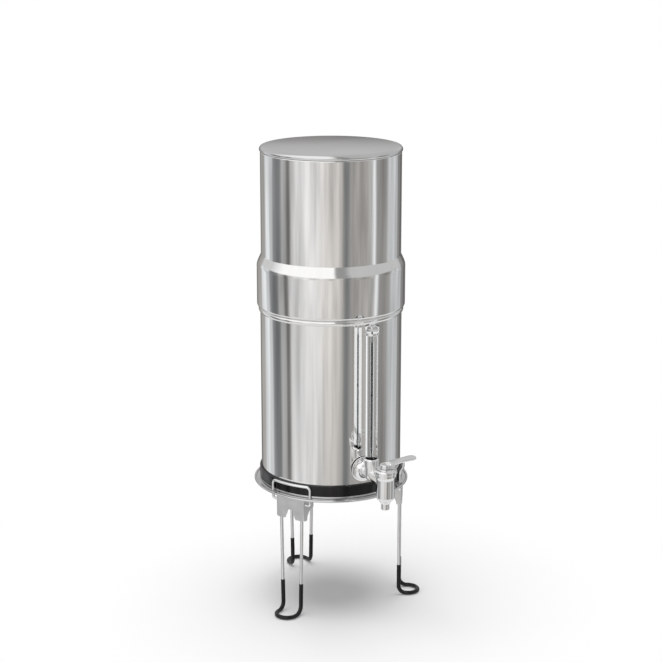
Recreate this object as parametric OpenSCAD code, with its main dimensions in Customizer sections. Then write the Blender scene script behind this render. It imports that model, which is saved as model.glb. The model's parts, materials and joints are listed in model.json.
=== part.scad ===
// Gravity water filter: two stacked steel chambers on a three-legged wire stand,
// with a quarter-turn tap and a sight gauge. Millimetres, +Z up, the tap points to -Y.
// The origin is on the chambers' axis, on the floor that the feet stand on.

/* [Sheet metal] */
// Thickness of the chambers' and the lid's sheet
sheet_t = 1; // [0.6:0.1:2]
// Radius of the curl on each chamber's rim
curl_r = 1.6; // [1.2:0.1:2.5]

/* [Lower chamber] */
// Outside radius of the lower chamber
lower_r = 101.4; // [90:0.1:125]
// Height of the lower chamber, base to rim
lower_h = 296.8; // [280:0.1:340]
// Radius of the corner between the wall and the base
base_round = 5; // [3:0.5:10]
// Depth of the stop bead's middle below the chamber's rim
bead_down = 47; // [35:0.1:60]
// Half the height of the stop bead
bead_half = 4; // [2.5:0.1:6]
// How far the stop bead stands out of the wall
bead_out = 2.5; // [1.5:0.1:3.2]

/* [Upper chamber] */
// Outside radius of the upper chamber
upper_r = 100; // [85:0.1:101]
// Height of the collar and shoulder, from the hem to the straight wall
collar_h = 76; // [60:0.1:95]
// Height of the straight wall, shoulder to rim
upper_h = 146; // [120:0.5:240]
// Room between the lower chamber's wall and the collar
collar_gap = 3.7; // [3:0.1:6]
// Slope of the shoulder, from the vertical
shoulder_angle = 25; // [15:1:40]
// Radius of the bend below the shoulder
shoulder_round = 20; // [8:1:22]
// Radius of the bend above the shoulder
neck_round = 4; // [2:0.5:8]

/* [Lid] */
// Height of the lid above the upper chamber's rim
lid_h = 7.6; // [5:0.1:14]
// How far the lid's hem stands out past the upper chamber
lid_over = 1.4; // [0.5:0.1:4]
// Radius of the lid's top edge
lid_round = 5; // [3:0.5:7]
// Depth of the lip inside the upper chamber
lip_h = 6; // [3:0.5:15]

/* [Filter candles] */
// Radius of a candle
candle_r = 30; // [20:0.5:35]
// Height of a candle
candle_h = 115; // [60:1:120]
// Distance of each candle from the chamber's axis
candle_x = 45; // [40:0.5:58]
// Radius of a candle's threaded stem
candle_stem_r = 5; // [4:0.5:7]
// Height of a candle's base cap
candle_base_h = 10; // [8:0.5:16]
// Thickness of the rubber washer under a base cap
candle_seal_t = 2.5; // [1.5:0.1:4]
// Height of a wing nut's round boss
wing_nut_h = 7; // [5:0.5:12]

/* [Stand] */
// Height of the support plate's underside above the floor
stand_h = 177.5; // [120:0.5:260]
// Thickness of the support plate
plate_t = 1.5; // [1:0.1:3]
// Height of the land pressed up in the support plate
land_rise = 4.7; // [3:0.1:10]
// Width of the land
land_w = 10.7; // [8:0.1:14]
// Width of the flange outside the hoops
flange_edge = 4.1; // [3:0.1:10]
// Radius of the flange's rolled rim
rim_r = 1.7; // [1.2:0.1:2.5]
// Thickness of the rubber base ring's wall
ring_t = 2.6; // [1.5:0.1:4]
// Height of the rubber base ring
ring_h = 15.3; // [8:0.1:22]
// Thickness of the base ring's floor
ring_floor = 1.5; // [1:0.1:3]

/* [Leg brackets] */
// Half the width of a bracket
bracket_half = 23.9; // [20:0.1:26]
// Height of a bracket
bracket_h = 32.5; // [26:0.5:45]
// Depth of a bracket's cheeks
cheek_depth = 24.4; // [18:0.1:30]
// Radius of the curve that is cut from a cheek
cheek_cut_r = 16; // [8:0.5:17]
// Thickness of a bracket's sheet
bracket_t = 1.5; // [1:0.1:2]
// Distance of a bracket's face in from the plate's edge
bracket_inset = 7; // [6:0.1:10]
// Height of the arch between a bracket's two lobes
arch_h = 14; // [8:0.5:18]
// Half the width of the arch at its top
arch_r = 5.2; // [3:0.1:7]
// Half the width of the arch at its foot
arch_foot = 9.5; // [7.5:0.1:12]
// Corner cut off each lobe
lobe_cut = 3; // [1:0.5:5]

/* [Wires] */
// Radius of the leg wire
wire_r = 2.4; // [1.8:0.1:3]
// Half the distance between a leg's two wires at the bracket
wire_top_half = 18.1; // [15:0.1:18.3]
// Half the distance between a leg's two wires at the foot
wire_foot_half = 15.2; // [12:0.1:18]
// Radius of the bend at the foot
foot_bend = 11; // [8:0.5:16]
// How far the foot reaches out past the leg
foot_reach = 28; // [24:0.5:60]
// Thickness of the coating on the foot
sleeve_t = 0.6; // [0.4:0.1:1.5]
// Height of the coating above the floor
sleeve_h = 48; // [25:1:90]
// Radius of the hoop wire
hoop_r = 1.9; // [1.2:0.1:2.4]
// Half the width of a hoop
hoop_half = 31.9; // [30:0.1:38]
// Radius of the hoop's upper corners
hoop_bend = 5.5; // [4:0.5:9]
// Height of the hoop's bar above the support plate's underside
hoop_up = 19.5; // [15:0.5:30]
// Depth of the hoop's ends below the support plate's underside
hoop_down = 8; // [6:0.5:10]
// Radius of the hoop's lower bends
hoop_end_bend = 4; // [3:0.5:5]

/* [Tap] */
// Height of the tap's axis above the chamber's base
tap_up = 36.6; // [34:0.1:70]
// Distance of the gauge's axis from the chamber's wall
gauge_out = 25.6; // [24:0.1:40]
// Distance of the valve's axis from the gauge's axis
valve_out = 41.6; // [38:0.1:60]
// Radius of the shank through the chamber's wall
shank_r = 8; // [6:0.1:9]
// Length of the shank inside the wall
shank_in = 15; // [13:0.5:20]
// Radius of the water way through the tap
bore_r = 4; // [2.5:0.1:4.5]
// Radius of the escutcheon
escutcheon_r = 18.4; // [16:0.1:18.8]
// Depth of the escutcheon's bell
escutcheon_h = 8.5; // [5:0.5:10]
// Thickness of the washers' flat part
washer_t = 1.6; // [1:0.1:3]
// Radius of the valve's body
valve_r = 12.5; // [12:0.1:16]
// Height of the valve's body above the tap's axis
valve_up = 14.2; // [12:0.1:18]
// Depth of the valve's body below the tap's axis
valve_down = 18.3; // [17:0.1:26]
// Height of the taper below the valve's body
taper_h = 11.5; // [6:0.5:20]
// Radius of the outlet nozzle
nozzle_r = 5.9; // [5:0.1:8]
// Length of the outlet nozzle
nozzle_l = 8.5; // [6:0.5:20]
// Radius of the bonnet
bonnet_r = 16.2; // [14:0.1:18]
// Height of the bonnet
bonnet_h = 7; // [5:0.1:10]
// Radius of the valve's stem
stem_r = 4; // [3.4:0.1:5]
// Thickness of each ceramic disc
disc_t = 3; // [2:0.1:4]
// Thickness of the rubber seat
seat_t = 2; // [1:0.1:3]

/* [Lever] */
// Radius of the lever's hub
hub_r = 8; // [7:0.1:11]
// Height of the lever's hub
hub_h = 6; // [5:0.1:9]
// Reach of the lever from the stem's axis
lever_reach = 47; // [38:0.5:70]
// Half the width of the lever's paddle
paddle_half = 7; // [5:0.1:9]
// Half the thickness of the lever's paddle
paddle_t = 2.8; // [2:0.1:4]
// Rise of the lever from the hub to the paddle
lever_rise = 5.5; // [2:0.5:12]

/* [Sight gauge] */
// Radius of the gauge's clear tube
tube_r = 8.4; // [7:0.05:8.6]
// Radius of the tube's bore
tube_bore = 1.8; // [1.5:0.1:3.6]
// Height of the gauge's top above the tap's axis
gauge_h = 215.2; // [120:0.1:240]
// Length of solid tube between each end's fitting and the wide bore
bore_end = 8; // [5:0.5:20]
// Radius of the gland nut
gland_r = 10.6; // [10.6:0.05:13]
// Height of the gland nut
gland_h = 12; // [10:0.1:16]
// Radius of the gauge's cap
cap_r = 9.7; // [9.7:0.1:12]
// Height of the gauge's cap
cap_h = 10.5; // [6:0.1:14]
// Height of the ring under the cap
cap_ring_h = 3.5; // [2:0.1:5]
// Height of the float
float_h = 3; // [2:0.5:8]
// Height of the float's middle above the tap's axis
float_up = 115; // [60:1:150]

/* [Clearances] */
// Room between the lower chamber and the base ring
ring_gap = 0.2; // [0.1:0.05:0.5]
// Room between a hoop's bar and the base ring
hoop_gap = 0.3; // [0.2:0.05:1]
// Room between the collar's hem and the lower chamber
hem_gap = 0.5; // [0.3:0.05:1]
// Room between the lid's lip and the upper chamber's curl
lip_gap = 0.4; // [0.3:0.05:1]
// Radial room of a hole round a pin, stem or shank that stays put
hole_gap = 0.4; // [0.2:0.05:0.8]
// Radial room of a close fit between two fixed pieces
fit_gap = 0.05; // [0.02:0.01:0.1]
// Radial room of the valve's turning pieces
run_gap = 0.05; // [0.02:0.01:0.1]
// Room between the lever's hub and the bonnet
lever_gap = 0.4; // [0.2:0.05:1]
// Radial room of the float in its bore
float_gap = 0.3; // [0.2:0.05:0.6]

/* [Hidden] */
$fn = 96;

// Overlap of cuts past the faces they cut
cut = 1;

// Directions of the legs, with the tap at -90
leg_left = -150;
leg_right = -30;
leg_rear = 90;

// Radii that stand round the lower chamber, each from the one inside it
ring_in = lower_r + ring_gap;
ring_out = ring_in + ring_t;
hoop_track = ring_out + hoop_gap + hoop_r;
plate_r = hoop_track + hoop_r + flange_edge;
land_in = ring_out - land_w;
collar_r = lower_r + collar_gap + sheet_t;

// Heights, from the floor up
plate_top = stand_h + plate_t;
land_top = plate_top + land_rise;
base_z = land_top + ring_floor;
rim_z = base_z + lower_h;
stop_z = rim_z - bead_down;
hem_z = stop_z + bead_half;
neck_z = hem_z + collar_h;
floor_z = neck_z;
upper_top = neck_z + upper_h;
lid_top = upper_top + lid_h;
lid_r = upper_r + lid_over;
lip_r = upper_r - 2 * curl_r - lip_gap;

// Candle stack, from the chamber's floor up
seal_z = floor_z + sheet_t;
candle_base_z = seal_z + candle_seal_t;
candle_base_r = candle_r + 1.5;
candle_recess = 4;
candle_seal_r = 14;
candle_dome = 34;
stem_below = 18;
wing_nut_r = 9;
wing_reach = 17;
wing_t = 3;
wing_h = 13;

// Leg, in its own frame: +X outward, +Y along the bracket's face
face_x = plate_r - bracket_inset;
wire_gap = 0.1;
wire_x = face_x - bracket_t - wire_r - wire_gap;
wire_top_z = stand_h - bracket_t - wire_gap;
sleeve_r = wire_r + sleeve_t;
foot_z = sleeve_r;
lean = atan((wire_top_half - wire_foot_half) / (wire_top_z - foot_z));
foot_end = wire_x + foot_reach - wire_foot_half;
hoop_link = 1;
hoop_bar_half = asin((hoop_half - hoop_bend - hoop_link) / hoop_track);
hoop_bar_x = hoop_track * cos(hoop_bar_half);
hoop_bar_y = hoop_track * sin(hoop_bar_half);
hoop_corner_x = hoop_bar_x - hoop_link * sin(hoop_bar_half);
hoop_corner_y = hoop_bar_y + hoop_link * cos(hoop_bar_half);
hoop_x = hoop_corner_x - hoop_bend * sin(hoop_bar_half);
hoop_y = hoop_corner_y + hoop_bend * cos(hoop_bar_half);
wire_lap = 0.25;
wire_swell = 0.02;
hoop_end_y = bracket_half - bracket_t - wire_gap;

// Tap, in its own frame: +X away from the chamber, +Y towards the lever's tip
tap_z = base_z + tap_up;
gauge_x = lower_r + gauge_out;
valve_x = gauge_x + valve_out;
wall_in = lower_r - sheet_t;
washer_out_r = escutcheon_r - 1.4;
washer_x = lower_r + washer_t;
inner_washer_r = 14;
inner_face = sqrt(wall_in * wall_in - inner_washer_r * inner_washer_r) - washer_t;
lock_nut_r = 14;
lock_nut_h = 6;
tube_out = shank_r + 0.4;
boss_r = gland_r - 0.95;
boss_top = tap_z + 17;
gland_z = boss_top + 6 - gland_h;
gland_web = 3.8;
gauge_seal_t = 2;
arm_start = 5.6;
arm_begin = tube_out - 0.8;
flare = 1.2;
flare_h = 7;
taper_drop = 1;
valve_wall = 3;
chamber_r = valve_r - valve_wall;
valve_top = tap_z + valve_up;
valve_low = tap_z - valve_down;
nozzle_top = valve_low - taper_h;
nozzle_low = nozzle_top - nozzle_l;
seat_z = valve_low + 2.5;
disc_z = seat_z + seat_t;
turn_z = disc_z + disc_t;
tongue_z = turn_z + disc_t;
tongue_h = 3;
skirt_r = chamber_r - fit_gap;
disc_r = skirt_r - 1.4;
port_r = 2;
port_x = disc_r - port_r - 1.4;
bonnet_top = valve_top + bonnet_h;
stem_step = bonnet_top + lever_gap / 2;
stem_neck_r = stem_r - 1;
hub_z = bonnet_top + lever_gap;
hub_top = hub_z + hub_h;
stem_top = hub_top - 1.5;
screw_r = 1.5;
seal_wire = 0.9;
seal_step = 3.4;

// Sight gauge
tube_low = boss_top - 8;
gauge_top = tap_z + gauge_h;
cap_z = gauge_top - cap_h;
cap_ring_z = cap_z - cap_ring_h;
tube_top = cap_z + 3;
bore_low = gland_z + gland_h + bore_end;
bore_high = cap_ring_z - bore_end;
bore_cone = 5;
vent_r = 1;
float_r = tube_bore - float_gap;
float_z = tap_z + float_up;

// Points of an arc about (x, y), from angle a to angle b
function arc(x, y, r, a, b, n = 12) =
    [for (i = [0:n]) [x + r * cos(a + (b - a) * i / n), y + r * sin(a + (b - a) * i / n)]];

// The stop bead's arc, for the wall's outside (inset 0) or its inside (inset sheet_t)
function bead_round() = (bead_half * bead_half + bead_out * bead_out) / (2 * bead_out);
function bead_angle(inset) = acos((bead_round() - bead_out - inset) / (bead_round() - inset));
function bead_arc(inset, side) =
    arc(lower_r + bead_out - bead_round(), stop_z, bead_round() - inset,
        -side * bead_angle(inset), side * bead_angle(inset));

// The shoulder: neck bend, straight slope and lower bend, for either face of the sheet
function slope_l() =
    (collar_r - upper_r - (neck_round + shoulder_round) * (1 - cos(shoulder_angle)))
    / sin(shoulder_angle);
function bend_z() =
    neck_z - (neck_round + shoulder_round) * sin(shoulder_angle) - slope_l() * cos(shoulder_angle);
function shoulder_arcs(inset) = concat(
    arc(collar_r - shoulder_round, bend_z(), shoulder_round - inset, 0, shoulder_angle),
    arc(upper_r + neck_round, neck_z, neck_round + inset, 180 + shoulder_angle, 180));
function reversed(points) = [for (i = [len(points) - 1:-1:0]) points[i]];

// A length of wire along a bend, in the XY plane from +X round to the angle
module wire_bend(bend, r, angle) {
    rotate_extrude(angle = angle)
        translate([bend, 0])
            circle(r = r, $fn = 24);
}

// A straight length of wire between two bends, along +Z. It is a hair thicker than the
// bends and runs a little way into them, so that the lengths join cleanly.
module wire_straight(r, length) {
    translate([0, 0, -wire_lap])
        cylinder(r = r + wire_swell, h = length + 2 * wire_lap, $fn = 32);
}

module lid() {
    hem = lid_h - lid_round;
    edge_in = lip_r - sheet_t;
    corner = sheet_t;
    color([0.72, 0.72, 0.71])
        rotate_extrude()
            polygon(concat(
                [[0, lid_top]],
                arc(lid_r - lid_round, lid_top - lid_round, lid_round, 90, 0),
                arc(lid_r - hem, upper_top + hem, hem, 0, -90),
                [[lip_r, upper_top], [lip_r, upper_top - lip_h], [edge_in, upper_top - lip_h]],
                [[edge_in, lid_top - sheet_t - corner], [edge_in - corner, lid_top - sheet_t]],
                [[0, lid_top - sheet_t]]));
}

module upper_chamber() {
    hem_round = collar_r - lower_r - hem_gap;
    hem_in = lower_r + hem_gap;
    color([0.76, 0.75, 0.74])
        difference() {
            union() {
                rotate_extrude() {
                    polygon(concat(
                        [[hem_in, hem_z]],
                        arc(hem_in, hem_z + hem_round, hem_round, -90, 0),
                        shoulder_arcs(0),
                        [[upper_r, upper_top - curl_r], [upper_r - sheet_t, upper_top - curl_r]],
                        reversed(shoulder_arcs(sheet_t)),
                        arc(hem_in, hem_z + hem_round, hem_round - sheet_t, 0, -90)));
                    translate([upper_r - curl_r, upper_top - curl_r])
                        circle(r = curl_r, $fn = 32);
                }
                translate([0, 0, floor_z])
                    cylinder(r = upper_r - sheet_t / 2, h = sheet_t);
            }
            for (side = [-1, 1])
                translate([side * candle_x, 0, floor_z - cut])
                    cylinder(r = candle_stem_r + hole_gap, h = sheet_t + 2 * cut);
        }
}

module filter_candles() {
    rise = candle_dome - sqrt(candle_dome * candle_dome - candle_r * candle_r);
    bottom = candle_base_z + candle_base_h - candle_recess;
    color([0.2, 0.2, 0.2])
        for (side = [-1, 1])
            translate([side * candle_x, 0, bottom])
                rotate_extrude()
                    polygon(concat(
                        [[0, 0], [candle_r, 0]],
                        arc(0, candle_h - candle_dome, candle_dome, acos(candle_r / candle_dome), 90),
                        [[0, candle_h]]));
}

module candle_bases() {
    color([0.12, 0.12, 0.13])
        for (side = [-1, 1])
            translate([side * candle_x, 0, candle_base_z])
                difference() {
                    union() {
                        cylinder(r = candle_base_r, h = candle_base_h);
                        translate([0, 0, -candle_seal_t - sheet_t - stem_below])
                            cylinder(r = candle_stem_r, h = stem_below + sheet_t + candle_seal_t + cut);
                    }
                    translate([0, 0, candle_base_h - candle_recess])
                        cylinder(r = candle_r + fit_gap, h = candle_recess + cut);
                    translate([0, 0, -candle_seal_t - sheet_t - stem_below - cut])
                        cylinder(r = candle_stem_r / 2, h = stem_below + candle_base_h);
                }
}

module candle_seals() {
    color([0.15, 0.15, 0.15])
        for (side = [-1, 1])
            translate([side * candle_x, 0, seal_z])
                difference() {
                    cylinder(r = candle_seal_r, h = candle_seal_t);
                    translate([0, 0, -cut])
                        cylinder(r = candle_stem_r + fit_gap, h = candle_seal_t + 2 * cut);
                }
}

module candle_wing_nuts() {
    tip_r = 4;
    root = wing_nut_r - 2;
    foot = wing_nut_r + 1;
    waist_z = wing_h - 6.5;
    top_in = wing_reach - 7;
    color([0.85, 0.85, 0.85])
        for (side = [-1, 1])
            translate([side * candle_x, 0, floor_z])
                rotate([180, 0, 0])
                    difference() {
                        union() {
                            cylinder(r = wing_nut_r, h = wing_nut_h);
                            for (turn = [0, 180])
                                rotate([90, 0, turn])
                                    translate([0, 0, -wing_t / 2])
                                        linear_extrude(wing_t) {
                                            translate([wing_reach - tip_r, wing_h - tip_r])
                                                circle(r = tip_r);
                                            polygon([
                                                [root, 0], [foot, 0], [wing_reach - tip_r / 4, waist_z],
                                                [top_in, wing_h - tip_r / 2], [root, wing_nut_h]]);
                                        }
                        }
                        translate([0, 0, -cut])
                            cylinder(r = candle_stem_r + fit_gap, h = wing_h + 2 * cut);
                    }
}

module lower_chamber() {
    inner_round = base_round - sheet_t;
    color([0.76, 0.75, 0.74])
        difference() {
            rotate_extrude() {
                polygon(concat(
                    [[0, base_z]],
                    arc(lower_r - base_round, base_z + base_round, base_round, -90, 0),
                    bead_arc(0, 1),
                    [[lower_r, rim_z - curl_r], [wall_in, rim_z - curl_r]],
                    bead_arc(sheet_t, -1),
                    arc(wall_in - inner_round, base_z + base_round, inner_round, 0, -90),
                    [[0, base_z + sheet_t]]));
                translate([lower_r - curl_r, rim_z - curl_r])
                    circle(r = curl_r, $fn = 32);
            }
            translate([0, -lower_r / 2, tap_z])
                rotate([90, 0, 0])
                    cylinder(r = shank_r + hole_gap, h = lower_r);
        }
}

module base_ring() {
    edge = ring_t / 3;
    color([0.05, 0.05, 0.05])
        rotate_extrude()
            polygon(concat(
                [[land_in + 1, land_top], [ring_out, land_top]],
                arc(ring_out - edge, land_top + ring_h - edge, edge, 0, 90, 6),
                arc(ring_in + edge, land_top + ring_h - edge, edge, 90, 180, 6),
                [[ring_in, base_z], [land_in + 1, base_z]]));
}

module support_plate() {
    land_z = stand_h + land_rise;
    color([0.62, 0.61, 0.61])
        difference() {
            rotate_extrude() {
                polygon([
                    [0, stand_h], [land_in + plate_t, stand_h], [land_in + plate_t, land_z],
                    [ring_out - plate_t, land_z], [ring_out - plate_t, stand_h],
                    [plate_r - rim_r, stand_h], [plate_r - rim_r, plate_top],
                    [ring_out, plate_top], [ring_out, land_top],
                    [land_in, land_top], [land_in, plate_top], [0, plate_top]]);
                translate([plate_r - rim_r, stand_h + rim_r - wire_gap])
                    circle(r = rim_r, $fn = 32);
            }
            for (leg = [leg_left, leg_right, leg_rear], side = [-1, 1])
                rotate([0, 0, leg])
                    translate([hoop_x, side * hoop_y, stand_h - cut])
                        cylinder(r = hoop_r + hoop_gap, h = land_rise + plate_t + 2 * cut);
        }
}

// Bracket: a folded channel, open below and behind, welded under the plate by its top web
module bracket_plan(inset, corner) {
    width = bracket_half - inset;
    depth = cheek_depth - inset;
    difference() {
        union() {
            translate([face_x - cheek_depth, -width])
                square([depth - corner, 2 * width]);
            translate([face_x - inset - corner - cut, -width + corner])
                square([corner + cut, 2 * (width - corner)]);
            for (side = [-1, 1])
                translate([face_x - inset - corner, side * (width - corner)])
                    circle(r = corner, $fn = 32);
        }
    }
}

module bracket(leg) {
    bottom = stand_h - bracket_h;
    color([0.62, 0.62, 0.62])
        rotate([0, 0, leg])
            difference() {
                translate([0, 0, bottom])
                    linear_extrude(bracket_h)
                        bracket_plan(0, bracket_t + 0.5);
                translate([0, 0, bottom - cut])
                    linear_extrude(bracket_h - bracket_t + cut)
                        bracket_plan(bracket_t, 0.5);
                translate([0, 0, bottom - cut])
                    translate([face_x - cheek_depth - 2 * cut, -bracket_half + bracket_t, 0])
                        cube([3 * cut, 2 * (bracket_half - bracket_t), bracket_h - bracket_t + cut]);
                translate([face_x - cheek_depth, bracket_half + cut, bottom])
                    rotate([90, 0, 0])
                        cylinder(r = cheek_cut_r, h = 2 * bracket_half + 2 * cut);
                translate([face_x - bracket_t - cut, 0, bottom])
                    rotate([90, 0, 90])
                        linear_extrude(bracket_t + 2 * cut) {
                            translate([0, arch_h - arch_r])
                                circle(r = arch_r);
                            polygon([
                                [-arch_foot, -cut], [arch_foot, -cut],
                                [arch_r, arch_h - arch_r], [-arch_r, arch_h - arch_r]]);
                            for (side = [-1, 1])
                                polygon([
                                    [side * (bracket_half + cut), -cut],
                                    [side * (bracket_half - lobe_cut), -cut],
                                    [side * (bracket_half - lobe_cut), 0],
                                    [side * (bracket_half + cut), lobe_cut + cut]]);
                        }
                for (side = [-1, 1])
                    translate([hoop_x, side * (bracket_half + cut), stand_h - hoop_down])
                        rotate([side * 90, 0, 0])
                            cylinder(r = hoop_r + fit_gap, h = bracket_t + 2 * cut);
            }
}

// The leg's whole wire path at radius r, up to the height top
module leg_path(r, top) {
    for (side = [-1, 1])
        translate([0, side * wire_foot_half, foot_z])
            rotate([-side * lean, 0, 0]) {
                translate([wire_x, 0, foot_bend])
                    cylinder(r = r, h = (top - foot_z) / cos(lean) - foot_bend, $fn = 32);
                translate([wire_x + foot_bend, 0, foot_bend])
                    rotate([90, 0, 0])
                        rotate([0, 0, 180])
                            wire_bend(foot_bend, r, 90);
            }
    for (side = [-1, 1])
        translate([wire_x + foot_bend, side * wire_foot_half, foot_z])
            rotate([0, 90, 0])
                wire_straight(r, foot_end - wire_x - foot_bend);
    translate([foot_end, 0, foot_z])
        rotate([0, 0, -90])
            wire_bend(wire_foot_half, r, 180);
}

module leg_wire(leg) {
    color([0.8, 0.8, 0.8])
        rotate([0, 0, leg])
            leg_path(wire_r, wire_top_z);
}

module foot_sleeve(leg) {
    color([0.04, 0.04, 0.04])
        rotate([0, 0, leg])
            difference() {
                leg_path(sleeve_r, sleeve_h);
                leg_path(wire_r + fit_gap, sleeve_h + 10 * cut);
            }
}

module hoop(leg) {
    bar_z = stand_h + hoop_up;
    end_z = stand_h - hoop_down;
    color([0.82, 0.82, 0.82])
        rotate([0, 0, leg]) {
            translate([0, 0, bar_z])
                rotate([0, 0, -hoop_bar_half])
                    wire_bend(hoop_track, hoop_r, 2 * hoop_bar_half);
            for (side = [-1, 1]) {
                translate([hoop_bar_x, side * hoop_bar_y, bar_z])
                    rotate([-side * 90, 0, side * hoop_bar_half])
                        wire_straight(hoop_r, hoop_link);
                translate([hoop_corner_x, side * hoop_corner_y, bar_z - hoop_bend])
                    rotate([0, 0, side * (90 + hoop_bar_half)])
                        rotate([90, 0, 0])
                            wire_bend(hoop_bend, hoop_r, 90);
                translate([hoop_x, side * hoop_y, end_z + hoop_end_bend])
                    wire_straight(hoop_r, bar_z - hoop_bend - end_z - hoop_end_bend);
                translate([hoop_x, side * (hoop_y - hoop_end_bend), end_z + hoop_end_bend])
                    rotate([0, 0, side * 90])
                        rotate([90, 0, 0])
                            rotate([0, 0, -90])
                                wire_bend(hoop_end_bend, hoop_r, 90);
                translate([hoop_x, side * hoop_end_y, end_z])
                    rotate([-side * 90, 0, 0])
                        wire_straight(hoop_r, hoop_y - hoop_end_bend - hoop_end_y);
            }
        }
}

// Puts a piece of the tap in place: its own +X becomes -Y, its own +Y becomes +X
module at_tap() {
    rotate([0, 0, -90])
        children();
}

// A round piece on the tap's level axis, from x to x + h
module along_tap(x) {
    translate([x, 0, tap_z])
        rotate([0, 90, 0])
            children();
}

module tap_body() {
    arm_end = valve_r - 1.2;
    color([0.82, 0.82, 0.82])
        at_tap()
            difference() {
                union() {
                    along_tap(wall_in - shank_in)
                        cylinder(r = shank_r, h = washer_x - wall_in + shank_in + cut);
                    along_tap(washer_x)
                        cylinder(r = tube_out, h = gauge_x - washer_x);
                    translate([gauge_x, 0, tap_z]) {
                        sphere(r = boss_r);
                        cylinder(r = boss_r, h = boss_top - tap_z);
                    }
                    along_tap(gauge_x + arm_start)
                        cylinder(r1 = arm_begin, r2 = arm_end, h = valve_out - arm_start - valve_r / 2);
                    translate([valve_x, 0, 0])
                        rotate_extrude()
                            polygon(concat(
                                [[0, nozzle_low], [nozzle_r, nozzle_low], [nozzle_r, nozzle_top]],
                                arc(nozzle_r, valve_low - taper_drop, valve_r - nozzle_r, -60, 0, 8),
                                [[valve_r, valve_top - flare_h], [valve_r + flare, valve_top]],
                                [[0, valve_top]]));
                }
                along_tap(wall_in - shank_in - cut)
                    cylinder(r = bore_r, h = valve_x - wall_in + shank_in + cut);
                translate([gauge_x, 0, tap_z])
                    cylinder(r = vent_r * 2, h = boss_top - tap_z);
                translate([gauge_x, 0, tube_low])
                    cylinder(r = tube_r + fit_gap, h = boss_top - tube_low + cut);
                translate([valve_x, 0, seat_z])
                    cylinder(r = chamber_r, h = valve_top - seat_z + cut);
                translate([valve_x, 0, nozzle_low - cut])
                    cylinder(r = bore_r, h = seat_z - nozzle_low + 2 * cut);
            }
}

module tap_escutcheon() {
    rim = 1.6;
    step = 0.6;
    inner = tube_out + fit_gap;
    bell = escutcheon_r - inner - 2 * step;
    color([0.82, 0.82, 0.82])
        at_tap()
            along_tap(washer_x)
                rotate_extrude()
                    polygon(concat(
                        [[inner, 0], [escutcheon_r, 0], [escutcheon_r, rim]],
                        [for (a = [0:10:90]) [
                            escutcheon_r - step - bell * sin(a),
                            rim + step + (escutcheon_h - rim - step) * (1 - cos(a))]],
                        [[inner, escutcheon_h]]));
}

module tap_outer_washer() {
    color([0.1, 0.1, 0.1])
        difference() {
            at_tap()
                along_tap(wall_in - cut)
                    difference() {
                        cylinder(r = washer_out_r, h = washer_x - wall_in + cut);
                        translate([0, 0, -cut])
                            cylinder(r = shank_r + fit_gap, h = washer_x + cut);
                    }
            cylinder(r = lower_r, h = lower_h + base_z, $fn = 180);
        }
}

module tap_inner_washer() {
    color([0.1, 0.1, 0.1])
        intersection() {
            at_tap()
                along_tap(inner_face)
                    difference() {
                        cylinder(r = inner_washer_r, h = wall_in - inner_face + cut);
                        translate([0, 0, -cut])
                            cylinder(r = shank_r + fit_gap, h = wall_in);
                    }
            cylinder(r = wall_in, h = lower_h + base_z, $fn = 180);
        }
}

module tap_lock_nut() {
    color([0.75, 0.75, 0.75])
        at_tap()
            along_tap(inner_face - lock_nut_h)
                difference() {
                    cylinder(r = lock_nut_r, h = lock_nut_h, $fn = 6);
                    translate([0, 0, -cut])
                        cylinder(r = shank_r + fit_gap, h = lock_nut_h + 2 * cut);
                }
}

module tap_bonnet() {
    flat_r = hub_r + 0.5;
    edge = 0.8;
    side_h = bonnet_h / 3;
    roof_z = tongue_z + tongue_h + 8;
    roof_rise = 2;
    color([0.85, 0.85, 0.85])
        at_tap()
            translate([valve_x, 0, 0])
                difference() {
                    rotate_extrude()
                        polygon(concat(
                            [[stem_r + run_gap, roof_z + roof_rise], [disc_r + run_gap, roof_z]],
                            [[disc_r + run_gap, disc_z], [skirt_r, disc_z], [skirt_r, valve_top]],
                            [[bonnet_r - edge, valve_top], [bonnet_r, valve_top + edge]],
                            [[bonnet_r, valve_top + side_h]],
                            [for (a = [10:10:90]) [
                                flat_r + (bonnet_r - flat_r) * cos(a),
                                valve_top + side_h + (bonnet_h - side_h) * sin(a)]],
                            [[stem_r + run_gap, bonnet_top]]));
                    translate([-skirt_r - cut, -bore_r, tap_z - bore_r])
                        cube([skirt_r, 2 * bore_r, 2 * bore_r]);
                }
}

module tap_stem() {
    groove_z = [for (i = [1:2]) bonnet_top - i * seal_step];
    tongue_w = 4;
    tongue_l = 2 * disc_r - 2;
    color([0.7, 0.7, 0.7])
        at_tap()
            translate([valve_x, 0, 0])
                difference() {
                    union() {
                        translate([0, 0, tongue_z])
                            cylinder(r = stem_r, h = stem_step - tongue_z);
                        translate([0, 0, stem_step])
                            cylinder(r = stem_neck_r, h = stem_top - stem_step);
                        translate([-tongue_l / 2, -tongue_w / 2, tongue_z])
                            cube([tongue_l, tongue_w, tongue_h]);
                    }
                    for (z = groove_z)
                        translate([0, 0, z])
                            rotate_extrude()
                                translate([stem_r - 2 * seal_wire - run_gap, -seal_wire - run_gap])
                                    square([2 * seal_wire + cut, 2 * (seal_wire + run_gap)]);
                }
}

module tap_stem_seals() {
    color([0.08, 0.08, 0.08])
        at_tap()
            for (i = [1:2])
                translate([valve_x, 0, bonnet_top - i * seal_step])
                    rotate_extrude()
                        translate([stem_r - seal_wire, 0])
                            circle(r = seal_wire, $fn = 24);
}

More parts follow.
